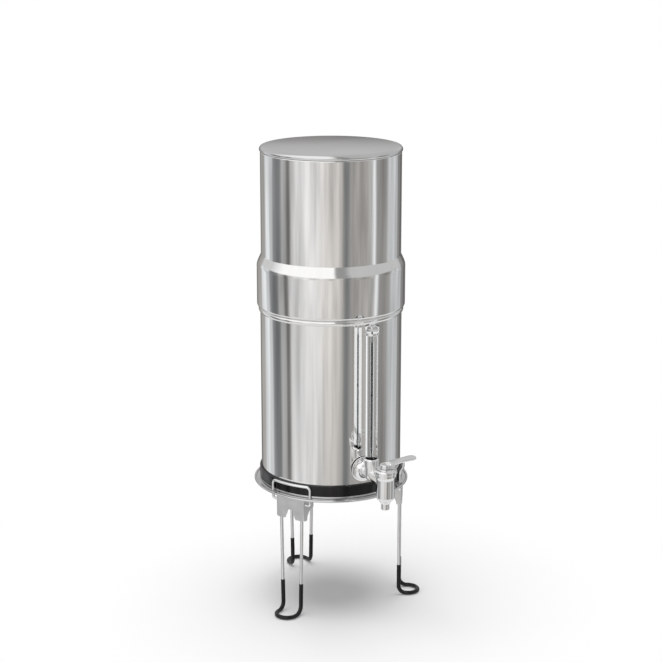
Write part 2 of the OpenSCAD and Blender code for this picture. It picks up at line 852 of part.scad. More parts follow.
// A ceramic disc with two water ports, on the line at the angle turn
module ceramic_disc(z, turn) {
    color([0.95, 0.95, 0.93])
        at_tap()
            translate([valve_x, 0, z])
                rotate([0, 0, turn])
                    difference() {
                        cylinder(r = disc_r, h = disc_t);
                        for (side = [-1, 1])
                            translate([side * port_x, 0, -cut])
                                cylinder(r = port_r, h = disc_t + 2 * cut, $fn = 32);
                    }
}

module tap_turning_disc() {
    ceramic_disc(turn_z, 90);
}

module tap_fixed_disc() {
    ceramic_disc(disc_z, 0);
}

module tap_seat() {
    color([0.1, 0.1, 0.1])
        at_tap()
            translate([valve_x, 0, seat_z])
                difference() {
                    cylinder(r = disc_r, h = seat_t);
                    translate([0, 0, -cut])
                        cylinder(r = port_x + port_r, h = seat_t + 2 * cut);
                }
}

module tap_lever() {
    neck_y = lever_reach / 2;
    neck_half = paddle_half - 2.2;
    neck_z = hub_top - paddle_t + lever_rise * 0.7;
    tip_y = lever_reach - paddle_half;
    tip_z = hub_top - paddle_t + lever_rise;
    edge = 1.5;
    roof = 1;
    foot_step = 0.6;
    color([0.85, 0.85, 0.85])
        at_tap()
            translate([valve_x, 0, 0])
                difference() {
                    union() {
                        translate([0, 0, hub_z])
                            cylinder(r = hub_r - foot_step, h = hub_h - roof);
                        hull() {
                            translate([0, 0, hub_z + edge])
                                cylinder(r = hub_r, h = hub_h - 2 * edge, $fn = 48);
                            translate([0, 0, hub_top - roof])
                                cylinder(r = hub_r - 2 * roof, h = roof, $fn = 48);
                            translate([0, neck_y, neck_z])
                                scale([neck_half, paddle_half, paddle_t])
                                    sphere(r = 1, $fn = 32);
                        }
                        hull() {
                            translate([0, neck_y, neck_z])
                                scale([neck_half, paddle_half, paddle_t])
                                    sphere(r = 1, $fn = 32);
                            translate([0, tip_y, tip_z])
                                scale([paddle_half, paddle_half, paddle_t])
                                    sphere(r = 1, $fn = 32);
                        }
                    }
                    translate([0, 0, hub_z - cut])
                        cylinder(r = stem_neck_r + fit_gap, h = stem_top - hub_z + cut + wire_gap);
                    translate([0, -hub_r - cut, (hub_z + hub_top) / 2])
                        rotate([-90, 0, 0])
                            cylinder(r = screw_r + fit_gap, h = hub_r + cut);
                }
}

module lever_screw() {
    sunk = 0.6;
    color([0.3, 0.3, 0.3])
        at_tap()
            translate([valve_x, -hub_r + sunk, (hub_z + hub_top) / 2])
                rotate([-90, 0, 0])
                    cylinder(r = screw_r, h = hub_r - sunk - stem_neck_r);
}

module gauge_gland_nut() {
    foot_edge = 0.6;
    top_edge = 1.5;
    color([0.85, 0.85, 0.85])
        at_tap()
            translate([gauge_x, 0, 0])
                rotate_extrude()
                    polygon([
                        [boss_r + fit_gap, gland_z], [gland_r - foot_edge, gland_z],
                        [gland_r, gland_z + foot_edge], [gland_r, gland_z + gland_h - top_edge],
                        [gland_r - top_edge, gland_z + gland_h],
                        [tube_r + fit_gap, gland_z + gland_h],
                        [tube_r + fit_gap, gland_z + gland_h - gland_web],
                        [boss_r + fit_gap, gland_z + gland_h - gland_web]]);
}

module gauge_seal() {
    color([0.1, 0.1, 0.1])
        at_tap()
            translate([gauge_x, 0, boss_top])
                difference() {
                    cylinder(r = boss_r - fit_gap, h = gauge_seal_t);
                    translate([0, 0, -cut])
                        cylinder(r = tube_r + fit_gap, h = gauge_seal_t + 2 * cut);
                }
}

module gauge_tube() {
    color([0.8, 0.85, 0.88, 0.5])
        at_tap()
            translate([gauge_x, 0, 0])
                rotate_extrude()
                    polygon([
                        [vent_r, tube_low], [tube_r, tube_low], [tube_r, tube_top], [vent_r, tube_top],
                        [vent_r, bore_high], [tube_bore, bore_high - bore_cone],
                        [tube_bore, bore_low + bore_cone], [vent_r, bore_low]]);
}

module gauge_float() {
    color([0.05, 0.05, 0.06])
        at_tap()
            translate([gauge_x, 0, float_z - float_h / 2])
                cylinder(r = float_r, h = float_h, $fn = 32);
}

module gauge_cap_ring() {
    color([0.85, 0.85, 0.85])
        at_tap()
            translate([gauge_x, 0, 0])
                rotate_extrude()
                    polygon([
                        [tube_r + fit_gap, cap_ring_z], [cap_r - 0.3, cap_ring_z],
                        [cap_r + 0.5, cap_ring_z + 0.8], [cap_r + 0.5, cap_z], [tube_r + fit_gap, cap_z]]);
}

module gauge_cap() {
    top_round = 2.5;
    color([0.85, 0.87, 0.88])
        at_tap()
            translate([gauge_x, 0, 0])
                difference() {
                    rotate_extrude()
                        polygon(concat(
                            [[0, cap_z], [cap_r, cap_z]],
                            arc(cap_r - top_round, gauge_top - top_round, top_round, 0, 90, 8),
                            [[0, gauge_top]]));
                    translate([0, 0, cap_z - cut])
                        cylinder(r = tube_r + fit_gap, h = tube_top - cap_z + cut + 0.1);
                }
}

lid();
upper_chamber();
filter_candles();
candle_bases();
candle_seals();
candle_wing_nuts();
lower_chamber();
base_ring();
support_plate();
bracket(leg_left);  // bracket_left
bracket(leg_right);  // bracket_right
bracket(leg_rear);  // bracket_rear
leg_wire(leg_left);  // leg_wire_left
leg_wire(leg_right);  // leg_wire_right
leg_wire(leg_rear);  // leg_wire_rear
foot_sleeve(leg_left);  // foot_sleeve_left
foot_sleeve(leg_right);  // foot_sleeve_right
foot_sleeve(leg_rear);  // foot_sleeve_rear
hoop(leg_left);  // hoop_left
hoop(leg_right);  // hoop_right
hoop(leg_rear);  // hoop_rear
tap_body();
tap_escutcheon();
tap_outer_washer();
tap_inner_washer();
tap_lock_nut();
tap_bonnet();
tap_stem();
tap_stem_seals();
tap_turning_disc();
tap_fixed_disc();
tap_seat();
tap_lever();
lever_screw();
gauge_gland_nut();
gauge_seal();
gauge_tube();
gauge_float();
gauge_cap_ring();
gauge_cap();
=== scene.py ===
import json
import math

import bmesh
import bpy
from mathutils import Euler, Matrix, Vector

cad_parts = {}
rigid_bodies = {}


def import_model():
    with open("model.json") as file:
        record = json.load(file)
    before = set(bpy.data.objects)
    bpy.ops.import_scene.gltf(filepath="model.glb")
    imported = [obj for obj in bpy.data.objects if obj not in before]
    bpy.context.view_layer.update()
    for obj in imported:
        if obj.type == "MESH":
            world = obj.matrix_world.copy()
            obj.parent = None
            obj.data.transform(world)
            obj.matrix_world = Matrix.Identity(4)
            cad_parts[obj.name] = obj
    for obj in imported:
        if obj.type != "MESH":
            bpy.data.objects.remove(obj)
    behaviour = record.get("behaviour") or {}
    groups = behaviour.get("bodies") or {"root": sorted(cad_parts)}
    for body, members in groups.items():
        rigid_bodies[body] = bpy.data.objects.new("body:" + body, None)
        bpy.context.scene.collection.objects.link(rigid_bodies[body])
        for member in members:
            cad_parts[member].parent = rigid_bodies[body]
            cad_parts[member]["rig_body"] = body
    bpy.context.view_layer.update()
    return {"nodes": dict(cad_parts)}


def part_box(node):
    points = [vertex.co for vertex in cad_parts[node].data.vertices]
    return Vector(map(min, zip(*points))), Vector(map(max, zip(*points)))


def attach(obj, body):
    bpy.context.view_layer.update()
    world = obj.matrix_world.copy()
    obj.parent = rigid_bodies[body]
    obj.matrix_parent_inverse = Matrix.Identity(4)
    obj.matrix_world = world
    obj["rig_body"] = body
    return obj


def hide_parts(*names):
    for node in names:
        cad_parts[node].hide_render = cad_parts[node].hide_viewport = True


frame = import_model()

scene = bpy.context.scene
scene.view_settings.view_transform = "Standard"

# The camera. It stands a little over two metres off, to the left of the tap, and looks
# down on the filter from above the lid, as in the photograph.
camera_azimuth = math.radians(-26.4)
camera_distance = 2.30
camera_height = 1.00
camera_pitch = math.radians(13.27)
camera_data = bpy.data.cameras.new("camera")
camera_data.sensor_width = 36
camera_data.lens = 89.6
camera_data.shift_y = -0.06
camera = bpy.data.objects.new("camera", camera_data)
camera.location = (
    camera_distance * math.sin(camera_azimuth),
    -camera_distance * math.cos(camera_azimuth),
    camera_height,
)
camera.rotation_euler = Euler((math.pi / 2 - camera_pitch, 0, camera_azimuth))
scene.collection.objects.link(camera)
scene.camera = camera


# The studio. A tall bank of soft lights and dark gaps stands round the filter, so that the
# polished steel has something upright to mirror; the camera itself sees plain white.
def feed(tree, socket, given):
    """Links a socket to the output that feeds it, or sets its plain value."""
    if isinstance(given, bpy.types.NodeSocket):
        tree.links.new(given, socket)
    else:
        socket.default_value = given


def calc(tree, operation, *given):
    """The result of a math node on these outputs or numbers."""
    step = tree.nodes.new("ShaderNodeMath")
    step.operation = operation
    for socket, value in zip(step.inputs, given):
        feed(tree, socket, value)
    return step.outputs[0]


def vector(tree, x, y, z):
    """Puts three outputs or numbers together as a vector."""
    step = tree.nodes.new("ShaderNodeCombineXYZ")
    for socket, value in zip(step.inputs, (x, y, z)):
        feed(tree, socket, value)
    return step.outputs[0]


def remap(tree, value, start, end, low=0.0, high=1.0, eased=False):
    """Carries a value from the range start to end over to the range low to high."""
    step = tree.nodes.new("ShaderNodeMapRange")
    if eased:
        step.interpolation_type = "SMOOTHSTEP"
    step.inputs["From Min"].default_value = start
    step.inputs["From Max"].default_value = end
    step.inputs["To Min"].default_value = low
    step.inputs["To Max"].default_value = high
    tree.links.new(value, step.inputs["Value"])
    return step.outputs[0]


def mix(tree, factor, first, second, kind="RGBA"):
    """Goes from the first colour or value to the second as the factor goes from 0 to 1."""
    step = tree.nodes.new("ShaderNodeMix")
    step.data_type = kind
    feed(tree, step.inputs["Factor"], factor)
    feed(tree, step.inputs["A"], first)
    feed(tree, step.inputs["B"], second)
    return step.outputs["Result"]


world = bpy.data.worlds.new("studio")
scene.world = world
world.use_nodes = True
studio = world.node_tree
studio.nodes.clear()
direction = studio.nodes.new("ShaderNodeTexCoord").outputs["Generated"]
compass = studio.nodes.new("ShaderNodeSeparateXYZ")
studio.links.new(direction, compass.inputs[0])
upward = compass.outputs["Z"]
# turns the bank so that 0 degrees is the direction from the filter to the camera
facing = math.atan2(camera.location.y, camera.location.x)
around = calc(studio, "ARCTAN2", compass.outputs["Y"], compass.outputs["X"])
shifted = calc(studio, "SUBTRACT", around, facing)
bearing = remap(
    studio, calc(studio, "WRAP", shifted, -math.pi, math.pi), -math.pi, math.pi)


def by_bearing(rows, between):
    """A colour for every bearing, from rows of degrees and colour."""
    ramp = studio.nodes.new("ShaderNodeValToRGB")
    ramp.color_ramp.interpolation = between
    stops = ramp.color_ramp.elements
    stops.remove(stops[-1])
    for i, (degrees, colour) in enumerate(rows):
        position = (degrees + 180) / 360
        stop = stops[0] if i == 0 else stops.new(position)
        stop.position = position
        stop.color = (*colour, 1)
    studio.links.new(bearing, ramp.inputs[0])
    return ramp.outputs[0]


# bearing in degrees from the camera's side, light level and tint of each light or gap
cool, warm, plain = (0.97, 1.0, 1.02), (1.04, 1.0, 0.96), (1.0, 1.0, 1.0)
bank_levels = [
    (-180, 0.16, warm), (-160, 0.20, warm), (-156, 0.42, warm), (-138, 0.40, warm),
    (-133, 0.84, cool), (-113, 0.86, cool), (-108, 0.19, cool), (-91, 0.19, cool),
    (-87, 0.55, plain), (-79, 0.50, plain), (-76, 0.16, warm), (-71, 0.16, warm),
    (-67, 0.80, plain), (-30, 0.84, plain), (-6, 0.74, warm), (17, 0.56, warm),
    (21, 0.20, cool), (28, 0.22, cool), (34, 0.42, warm), (69, 0.40, warm),
    (72, 0.95, cool), (76, 0.95, cool), (79, 0.23, warm), (101, 0.27, warm),
    (107, 0.62, cool), (134, 0.68, cool), (139, 0.16, warm), (146, 0.40, plain),
    (152, 0.15, warm), (180, 0.16, warm),
]
bank = by_bearing(
    [(degrees, [level * share for share in tint]) for degrees, level, tint in bank_levels],
    "B_SPLINE")

# the lamps in the bank are many and narrow, so each band is itself finely striped, and the
# stripes lean and change a little on their way down
stripe_lean = 0.11
stripes = studio.nodes.new("ShaderNodeTexNoise")
stripes.noise_dimensions = "2D"
stripes.inputs["Scale"].default_value = 27
stripes.inputs["Detail"].default_value = 3
stripes.inputs["Roughness"].default_value = 0.6
leaning = vector(studio, bearing, calc(studio, "MULTIPLY", upward, stripe_lean), 0)
studio.links.new(leaning, stripes.inputs["Vector"])
striped = studio.nodes.new("ShaderNodeVectorMath")
striped.operation = "SCALE"
studio.links.new(bank, striped.inputs[0])
studio.links.new(
    remap(studio, stripes.outputs["Fac"], 0.3, 0.7, 0.74, 1.20), striped.inputs["Scale"])

# above the bank the light is softer: bright on the camera's left, calmer on its right
sky_levels = [
    (-180, 0.6), (-110, 0.7), (-84, 1.15), (4, 1.15),
    (9, 0.35), (24, 0.35), (34, 0.6), (180, 0.6),
]
sky = by_bearing([(degrees, [level] * 3) for degrees, level in sky_levels], "LINEAR")
sky_start, sky_full = math.sin(math.radians(2)), math.sin(math.radians(11))
height = remap(studio, upward, sky_start, sky_full, eased=True)
lights = mix(studio, height, striped.outputs[0], sky)

# and low down the polished steel mirrors the pale floor
mirrored_floor = (0.84, 0.84, 0.84, 1)
floor_start, floor_full = math.sin(math.radians(-27)), math.sin(math.radians(-38))
depth = remap(studio, upward, floor_start, floor_full, eased=True)
mirrored = studio.nodes.new("ShaderNodeBackground")
studio.links.new(mix(studio, depth, lights, mirrored_floor), mirrored.inputs["Color"])
backdrop = studio.nodes.new("ShaderNodeBackground")
backdrop.inputs["Color"].default_value = (1, 1, 1, 1)
rays = studio.nodes.new("ShaderNodeLightPath")
choose = studio.nodes.new("ShaderNodeMixShader")
studio.links.new(rays.outputs["Is Camera Ray"], choose.inputs[0])
studio.links.new(mirrored.outputs[0], choose.inputs[1])
studio.links.new(backdrop.outputs[0], choose.inputs[2])
world_out = studio.nodes.new("ShaderNodeOutputWorld")
studio.links.new(choose.outputs[0], world_out.inputs["Surface"])

# The overhead lamp: one wide soft disc above the filter, which throws the pale pool of
# shadow under the stand and is not mirrored in the steel.
overhead = bpy.data.lights.new("overhead", "AREA")
overhead.shape = "DISK"
overhead.size = 2.5
overhead.energy = 120
overhead_lamp = bpy.data.objects.new("overhead", overhead)
overhead_lamp.location = (0.04, 0.14, 2.6)
overhead_lamp.visible_glossy = False
scene.collection.objects.link(overhead_lamp)

# The floor: a white sheet that takes the shadow round the feet, and further out fades
# into the white behind it.
floor_mesh = bpy.data.meshes.new("floor")
floor_bm = bmesh.new()
bmesh.ops.create_circle(floor_bm, cap_ends=True, radius=6.0, segments=64)
floor_bm.to_mesh(floor_mesh)
floor_bm.free()
floor = bpy.data.objects.new("floor", floor_mesh)
scene.collection.objects.link(floor)
floor.visible_glossy = False
floor_paint = bpy.data.materials.new("floor_white")
floor_paint.use_nodes = True
paint = floor_paint.node_tree
paint.nodes.clear()
lit = paint.nodes.new("ShaderNodeBsdfDiffuse")
lit.inputs["Color"].default_value = (0.43, 0.43, 0.43, 1)
glow = paint.nodes.new("ShaderNodeEmission")
glow.inputs["Strength"].default_value = 0.115
near = paint.nodes.new("ShaderNodeAddShader")
paint.links.new(lit.outputs[0], near.inputs[0])
paint.links.new(glow.outputs[0], near.inputs[1])
far = paint.nodes.new("ShaderNodeEmission")
spot = paint.nodes.new("ShaderNodeTexCoord").outputs["Object"]
span = paint.nodes.new("ShaderNodeVectorMath")
span.operation = "LENGTH"
paint.links.new(spot, span.inputs[0])
fade_start, fade_end = 0.27, 0.60
fade = paint.nodes.new("ShaderNodeMixShader")
paint.links.new(
    remap(paint, span.outputs["Value"], fade_start, fade_end, eased=True), fade.inputs[0])
paint.links.new(near.outputs[0], fade.inputs[1])
paint.links.new(far.outputs[0], fade.inputs[2])
floor_out = paint.nodes.new("ShaderNodeOutputMaterial")
paint.links.new(fade.outputs[0], floor_out.inputs["Surface"])
floor_mesh.materials.append(floor_paint)


# The lower chamber: a deep-drawn can of polished stainless steel, one millimetre thick,
# with a rounded base, a stop bead rolled near the top and a curled rim.
def noise(tree, place, scale, detail):
    """The value of a noise texture at this place."""
    step = tree.nodes.new("ShaderNodeTexNoise")
    step.inputs["Detail"].default_value = detail
    tree.links.new(place, step.inputs["Vector"])
    feed(tree, step.inputs["Scale"], scale)
    return step.outputs["Fac"]


def bump(tree, relief, strength, distance):
    """The normal of a surface with this relief."""
    step = tree.nodes.new("ShaderNodeBump")
    step.inputs["Distance"].default_value = distance
    feed(tree, step.inputs["Strength"], strength)
    tree.links.new(relief, step.inputs["Height"])
    return step.outputs["Normal"]


def tone(tree, value, dark, light, start=0.0, end=1.0):
    """A colour between dark and light, as the value goes from start to end."""
    ramp = tree.nodes.new("ShaderNodeValToRGB")
    for stop, position, colour in zip(ramp.color_ramp.elements, (start, end), (dark, light)):
        stop.position = position
        stop.color = (*colour, 1)
    tree.links.new(value, ramp.inputs[0])
    return ramp.outputs[0]


def drawn_grain():
    """Upright polishing lines round a steel can: fine, faint, and a little uneven."""
    group = bpy.data.node_groups.new("drawn_grain", "ShaderNodeTree")
    face = group.interface
    face.new_socket("Lines", in_out="INPUT", socket_type="NodeSocketFloat")
    face.new_socket("Strength", in_out="INPUT", socket_type="NodeSocketFloat")
    face.new_socket("Mask", in_out="OUTPUT", socket_type="NodeSocketFloat")
    face.new_socket("Normal", in_out="OUTPUT", socket_type="NodeSocketVector")
    face.new_socket("Inside", in_out="OUTPUT", socket_type="NodeSocketFloat")
    given = group.nodes.new("NodeGroupInput")
    place = group.nodes.new("ShaderNodeTexCoord")
    part = group.nodes.new("ShaderNodeSeparateXYZ")
    group.links.new(place.outputs["Object"], part.inputs[0])
    angle = calc(group, "ARCTAN2", part.outputs["Y"], part.outputs["X"])
    cosine = calc(group, "COSINE", angle)
    sine = calc(group, "SINE", angle)
    rise = calc(group, "MULTIPLY", part.outputs["Z"], 0.9)
    lines = noise(group, vector(group, cosine, sine, rise), given.outputs["Lines"], 4)
    # faces that look at the axis, and floors seen from above, are the inside of a can
    looks = group.nodes.new("ShaderNodeVectorMath")
    looks.operation = "DOT_PRODUCT"
    group.links.new(place.outputs["Normal"], looks.inputs[0])
    group.links.new(vector(group, cosine, sine, -0.4), looks.inputs[1])
    result = group.nodes.new("NodeGroupOutput")
    group.links.new(lines, result.inputs["Mask"])
    group.links.new(
        bump(group, lines, given.outputs["Strength"], 0.0004), result.inputs["Normal"])
    group.links.new(
        remap(group, looks.outputs["Value"], -0.05, -0.20), result.inputs["Inside"])
    return group


def metal(name, dark, light, smooth, rough, smudge, grain=None):
    """A bare metal: its colour and roughness wander between two values over the surface."""
    made = bpy.data.materials.new(name)
    made.use_nodes = True
    tree = made.node_tree
    steel = tree.nodes["Principled BSDF"]
    steel.inputs["Metallic"].default_value = 1.0
    place = tree.nodes.new("ShaderNodeTexCoord").outputs["Object"]
    wander = noise(tree, place, smudge, 3)
    if grain:
        lined = tree.nodes.new("ShaderNodeGroup")
        lined.node_tree = grain
        lined.inputs["Lines"].default_value = 9.0
        lined.inputs["Strength"].default_value = 0.05
        tree.links.new(lined.outputs["Normal"], steel.inputs["Normal"])
        wander = mix(tree, 0.5, wander, lined.outputs["Mask"], "FLOAT")
    tree.links.new(tone(tree, wander, dark, light, 0.3, 0.7), steel.inputs["Base Color"])
    gloss = remap(tree, wander, 0.3, 0.7, smooth, rough)
    if grain:
        # the polisher's wheel doesn't reach inside, so that face stays satin
        gloss = mix(tree, lined.outputs["Inside"], gloss, 0.42, "FLOAT")
    tree.links.new(gloss, steel.inputs["Roughness"])
    return made


def turned(outline, turns=160):
    """Spins a closed outline of (radius, height) points about the upright axis."""
    bm = bmesh.new()
    corners = [bm.verts.new((r, 0, z)) for r, z in outline]
    for a, b in zip(corners, corners[1:] + corners[:1]):
        bm.edges.new((a, b))
    bmesh.ops.spin(
        bm, geom=bm.verts[:] + bm.edges[:], cent=(0, 0, 0), axis=(0, 0, 1),
        angle=2 * math.pi, steps=turns, use_merge=True)
    bmesh.ops.remove_doubles(bm, verts=bm.verts[:], dist=1e-7)
    bmesh.ops.dissolve_degenerate(bm, edges=bm.edges[:], dist=1e-7)
    # an outline that closes along the axis leaves a bare edge there
    on_axis = [edge for edge in bm.edges if edge.is_wire]
    bmesh.ops.delete(bm, geom=on_axis, context="EDGES")
    bmesh.ops.recalc_face_normals(bm, faces=bm.faces[:])
    return bm


def arc(r, z, radius, start, end, steps=8, rise=None):
    """Points of an arc about (r, z), in degrees from outward; a rise makes it an oval."""
    rise = rise or radius
    angles = [math.radians(start + (end - start) * i / steps) for i in range(steps + 1)]
    return [(r + radius * math.cos(a), z + rise * math.sin(a)) for a in angles]


def piece(name, bm, material, node, sharp=35):
    """Makes the object, smooth but for its sharp edges, in the place of its CAD node."""
    for edge in bm.edges:
        edge.smooth = edge.calc_face_angle(math.pi) < math.radians(sharp)
    for polygon in bm.faces:
        polygon.smooth = True
    mesh = bpy.data.meshes.new(name)
    bm.to_mesh(mesh)
    bm.free()
    mesh.materials.append(material)
    made = bpy.data.objects.new(name, mesh)
    scene.collection.objects.link(made)
    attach(made, frame["nodes"][node]["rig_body"])
    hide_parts(node)
    return made


def laid_out(bm, along=0):
    """Turns an upright turned shape to lie along the tap, with its foot at this distance."""
    bmesh.ops.rotate(bm, verts=bm.verts[:], matrix=Matrix.Rotation(math.pi / 2, 3, "X"))
    bmesh.ops.translate(bm, verts=bm.verts[:], vec=(0, -along, tap_z))
    return bm


def moved(bm, x=0, y=0):
    """Moves an upright turned shape sideways."""
    bmesh.ops.translate(bm, verts=bm.verts[:], vec=(x, y, 0))
    return bm


def rod(radius, low, high, turns=48):
    """A plain upright cylinder between two heights."""
    return turned([(0, low), (radius, low), (radius, high), (0, high)], turns)


def joined(shapes, cuts=()):
    """Joins closed shapes into one and cuts the others out of it."""
    whole = shapes[0]
    steps = [(bm, "UNION") for bm in shapes[1:]] + [(bm, "DIFFERENCE") for bm in cuts]
    for other, operation in steps:
        pair = []
        for bm in (whole, other):
            mesh = bpy.data.meshes.new("shape")
            bm.to_mesh(mesh)
            bm.free()
            pair.append(bpy.data.objects.new("shape", mesh))
            scene.collection.objects.link(pair[-1])
        step = pair[0].modifiers.new("step", "BOOLEAN")
        step.operation = operation
        step.solver = "EXACT"
        step.object = pair[1]
        bpy.context.view_layer.update()
        done = pair[0].evaluated_get(bpy.context.evaluated_depsgraph_get())
        result = bpy.data.meshes.new_from_object(done)
        whole = bmesh.new()
        whole.from_mesh(result)
        # points that all but coincide would spoil the next step
        bmesh.ops.remove_doubles(whole, verts=whole.verts[:], dist=1e-6)
        bpy.data.meshes.remove(result)
        for shape in pair:
            bpy.data.objects.remove(shape)
    return whole


chamber_steel = metal(
    "chamber_steel", (0.79, 0.785, 0.78), (0.87, 0.865, 0.86), 0.045, 0.10, 9.0, drawn_grain())
sheet = 0.001
curl = 0.0016
tap_z = 0.2218
tap_hole_radius = 0.0084
through = 0.01

lower_low, lower_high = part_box("lower_chamber")
lower_radius = 0.1014
base_round = 0.005
base_z = lower_low.z
bead_z = base_z + 0.2498
bead_half = 0.004
bead_out = 0.0025
bead_round = (bead_half ** 2 + bead_out ** 2) / (2 * bead_out)
bead_turn = math.degrees(math.acos((bead_round - bead_out) / bead_round))
outline = (
    [(0, base_z)]
    + arc(lower_radius - base_round, base_z + base_round, base_round, -90, 0)
    + arc(lower_radius + bead_out - bead_round, bead_z, bead_round, -bead_turn, bead_turn, 14)
    + arc(lower_radius - curl, lower_high.z - curl, curl, 0, 250, 14)
    + [(lower_radius - sheet, lower_high.z - 2 * curl)]
    + arc(lower_radius - base_round, base_z + base_round, base_round - sheet, 0, -90)
    + [(0, base_z + sheet)]
)
tap_hole = laid_out(rod(tap_hole_radius, lower_radius - through, lower_radius + through))
piece(
    "lower_chamber_steel", joined([turned(outline, 256)], [tap_hole]),
    chamber_steel, "lower_chamber")


# The upper chamber: the same steel, a straight can whose foot is spun out into a shoulder
# and a collar that slips over the lower chamber; a floor is seamed in at the shoulder.
upper_low, upper_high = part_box("upper_chamber")
upper_radius = 0.100
collar_radius = upper_high.x
collar_gap = 0.0005
hem_in = lower_radius + collar_gap
hem_round = collar_radius - hem_in
hem_z = upper_low.z
neck_z = hem_z + 0.076
slope_degrees = 25
slope = math.radians(slope_degrees)
low_round = 0.020
neck_round = 0.004
slope_length = (
    collar_radius - upper_radius - (neck_round + low_round) * (1 - math.cos(slope))
) / math.sin(slope)
bend_z = neck_z - (neck_round + low_round) * math.sin(slope) - slope_length * math.cos(slope)
candle_places = (-0.045, 0.045)
stem_hole_radius = 0.0054
outline = (
    [(hem_in, hem_z)]
    + arc(hem_in, hem_z + hem_round, hem_round, -90, 0, 12)
    + arc(collar_radius - low_round, bend_z, low_round, 0, slope_degrees, 12)
    + arc(upper_radius + neck_round, neck_z, neck_round, 180 + slope_degrees, 180)
    + arc(upper_radius - curl, upper_high.z - curl, curl, 0, 250, 14)
    + [(upper_radius - sheet, upper_high.z - 2 * curl), (upper_radius - sheet, neck_z + sheet)]
    + [(0, neck_z + sheet), (0, neck_z), (upper_radius - sheet, neck_z)]
    + arc(collar_radius - low_round, bend_z, low_round - sheet, slope_degrees, 0, 12)
    + arc(hem_in, hem_z + hem_round, hem_round - sheet, 0, -90, 12)
)
stem_holes = [
    moved(rod(stem_hole_radius, neck_z - through, neck_z + through), x) for x in candle_places]
piece(
    "upper_chamber_steel", joined([turned(outline, 256)], stem_holes),
    chamber_steel, "upper_chamber")


# The lid: a satin steel pressing with a flat top, a rounded edge and a rolled hem that
# rests on the chamber's rim, and a lip inside it. Its middle is bare.
lid_low, lid_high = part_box("lid")
lid_radius = lid_high.x
lid_round = 0.005
rim_z = upper_high.z
hem = lid_high.z - rim_z - lid_round
lip_gap = 0.0004
lip_radius = upper_radius - 2 * curl - lip_gap
lid_steel = metal("lid_steel", (0.60, 0.60, 0.60), (0.77, 0.77, 0.77), 0.12, 0.22, 8.0)
outline = (
    [(0, lid_high.z)]
    + arc(lid_radius - lid_round, lid_high.z - lid_round, lid_round, 90, 0, 10)
    + arc(lid_radius - hem, rim_z + hem, hem, 0, -90)
    + [(lip_radius, rim_z), (lip_radius, lid_low.z), (lip_radius - sheet, lid_low.z)]
    + [(lip_radius - sheet, lid_high.z - 2 * sheet)]
    + [(lip_radius - 2 * sheet, lid_high.z - sheet), (0, lid_high.z - sheet)]
)
piece("lid_steel", turned(outline, 256), lid_steel, "lid")


# The base ring: glossy black rubber of L section. The lower chamber stands on its floor
# and is held sideways by its wall.
def moulded(name, colour, smooth, rough, grain=90.0, depth=0.08):
    """A rubber or plastic: one colour, lightly mottled, with a faint moulded skin."""
    made = bpy.data.materials.new(name)
    made.use_nodes = True
    tree = made.node_tree
    skin = tree.nodes["Principled BSDF"]
    skin.inputs["Specular IOR Level"].default_value = 0.32
    place = tree.nodes.new("ShaderNodeTexCoord").outputs["Object"]
    mottle = noise(tree, place, grain, 4)
    darker, lighter = [c * 0.82 for c in colour], [c * 1.18 for c in colour]
    tree.links.new(tone(tree, mottle, darker, lighter), skin.inputs["Base Color"])
    tree.links.new(remap(tree, mottle, 0, 1, smooth, rough), skin.inputs["Roughness"])
    tree.links.new(bump(tree, mottle, depth, 0.0005), skin.inputs["Normal"])
    return made


ring_rubber = moulded("ring_rubber", (0.006, 0.006, 0.006), 0.03, 0.09, 60.0, 0.03)
ring_low, ring_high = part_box("base_ring")
ring_radius = ring_high.x
ring_inner = ring_radius - 0.0097
ring_wall = 0.0026
ring_floor = 0.0015
ring_round = 0.00085
outline = (
    [(ring_inner, ring_low.z), (ring_radius, ring_low.z)]
    + arc(ring_radius - ring_round, ring_high.z - ring_round, ring_round, 0, 90, 5)
    + arc(ring_radius - ring_wall + ring_round, ring_high.z - ring_round, ring_round, 90, 180, 5)
    + [(ring_radius - ring_wall, ring_low.z + ring_floor), (ring_inner, ring_low.z + ring_floor)]
)
piece("base_ring_rubber", turned(outline, 256), ring_rubber, "base_ring")


# The support plate: satin steel, pressed up into a land under the ring, with a flange
# whose edge is rolled, and a hole for each end of the three hoops.
plate_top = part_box("support_plate")[1].z
plate_radius = 0.1124
plate_sheet = 0.0015
plate_under = 0.1775
land_inner = ring_radius - 0.0107
land_under = plate_top - plate_sheet
fold = 0.0006
roll = 0.0017
satin_steel = metal("satin_steel", (0.58, 0.58, 0.58), (0.68, 0.68, 0.68), 0.06, 0.14, 22.0)
outline = (
    [(0, plate_under), (land_inner + plate_sheet, plate_under)]
    + [(land_inner + plate_sheet, land_under), (ring_radius - plate_sheet, land_under)]
    + [(ring_radius - plate_sheet, plate_under)]
    + arc(plate_radius - roll, plate_under + roll - 0.0001, roll, -90, 190, 14)
    + [(ring_radius + fold, plate_under + plate_sheet)]
    + arc(ring_radius + fold, plate_under + plate_sheet + fold, fold, -90, -180, 4)
    + arc(ring_radius - fold, plate_top - fold, fold, 0, 90, 4)
    + [(land_inner, plate_top), (land_inner, plate_under + plate_sheet)]
    + [(0, plate_under + plate_sheet)]
)
leg_turns = {"left": math.radians(-150), "right": math.radians(-30), "rear": math.radians(90)}
hoop_half = 0.0319
hoop_bend = 0.0055
hoop_lead = 0.001
hoop_track = 0.1064
hoop_hole_radius = 0.0023
bar_turn = math.asin((hoop_half - hoop_bend - hoop_lead) / hoop_track)
drop_x = hoop_track * math.cos(bar_turn) - (hoop_lead + hoop_bend) * math.sin(bar_turn)
drop_y = hoop_track * math.sin(bar_turn) + (hoop_lead + hoop_bend) * math.cos(bar_turn)
hoop_holes = []
